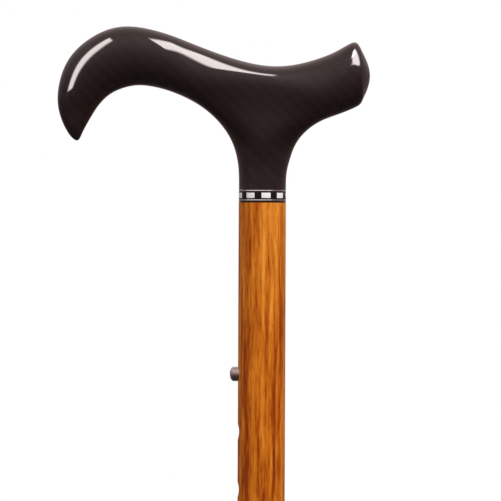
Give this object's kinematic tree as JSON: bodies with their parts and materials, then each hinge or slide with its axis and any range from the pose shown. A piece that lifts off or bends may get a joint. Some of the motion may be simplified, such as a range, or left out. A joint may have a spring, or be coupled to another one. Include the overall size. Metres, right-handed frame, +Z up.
{
  "type": "walking stick",
  "caption": "Height-adjustable derby-handle walking stick: carbon fibre handle, inlaid collar, wood-look upper tube with a snap button and hole row, lock nut, lower tube and rubber ferrule.",
  "frame": {"origin": "centre of the ferrule's tread, where the shaft's axis meets the floor", "axes": "+Z up the shaft; -X towards the beak of the handle and the snap button; +X towards the heel of the handle; the picture looks along +Y"},
  "size_m": [0.1373, 0.036, 0.8382],
  "materials": {
    "carbon_lacquer": "near-black brown carbon fibre laminate under clear lacquer",
    "wood_film": "orange-brown wood-grain film under clear lacquer, over carbon fibre",
    "twill_carbon": "black carbon fibre twill, satin lacquer",
    "black_resin": "polished black resin",
    "white_resin": "polished white resin",
    "polished_nickel": "polished nickel plate",
    "turned_aluminium": "turned",
    "zinc_steel": "zinc-plated steel",
    "spring_steel": "blued spring steel",
    "black_nylon": "moulded black nylon",
    "rigid_foam": "rigid foam, cut",
    "black_rubber": "moulded matt black rubber"
  },
  "bodies": {
    "lower": {"inner_tube": "twill_carbon", "guide_bush": "black_nylon", "end_plug": "black_nylon", "button_spring": "spring_steel", "ferrule": "black_rubber", "ferrule_washer": "zinc_steel"},
    "button": {"snap_button": "polished_nickel"},
    "upper": {"outer_tube": "wood_film", "tube_plug": "turned_aluminium", "lock_bush": "black_nylon", "collar_upper_ring": "polished_nickel", "collar_band": "black_resin", "collar_inlay_1": "white_resin", "collar_inlay_2": "white_resin", "collar_inlay_3": "white_resin", "collar_inlay_4": "white_resin", "collar_inlay_5": "white_resin", "collar_inlay_6": "white_resin", "collar_inlay_7": "white_resin", "collar_inlay_8": "white_resin", "collar_inlay_9": "white_resin", "collar_lower_ring": "polished_nickel", "collar_base_ring": "black_resin", "handle_skin": "carbon_lacquer", "handle_core": "rigid_foam", "neck_insert": "turned_aluminium", "handle_stud": "zinc_steel"},
    "clamp": {"clamp_ring": "black_nylon"},
    "lock": {"lock_nut": "black_nylon"}
  },
  "joints": [
    {"name": "height_slide", "type": "slide", "parent": "lower", "child": "upper", "axis": [0, 0, 1], "range_m": [0, 0.1524]},
    {"name": "button_press", "type": "slide", "parent": "lower", "child": "button", "axis": [1, 0, 0], "range_m": [0, 0.0052], "stiffness_N_per_m": 1200, "springref_m": -0.003, "deforming": ["button_spring"]},
    {"name": "clamp_slide", "type": "slide", "parent": "upper", "child": "clamp", "axis": [0, 0, -1], "range_m": [0, 0.00113]},
    {"name": "nut_turn", "type": "hinge", "parent": "clamp", "child": "lock", "pos_m": [0, 0, 0.38495], "axis": [0, 0, -1], "range_deg": [0, 270]}
  ],
  "couplings": [
    {"joint": "clamp_slide", "follows": "nut_turn", "m_per_rad": 0.00023873}
  ]
}
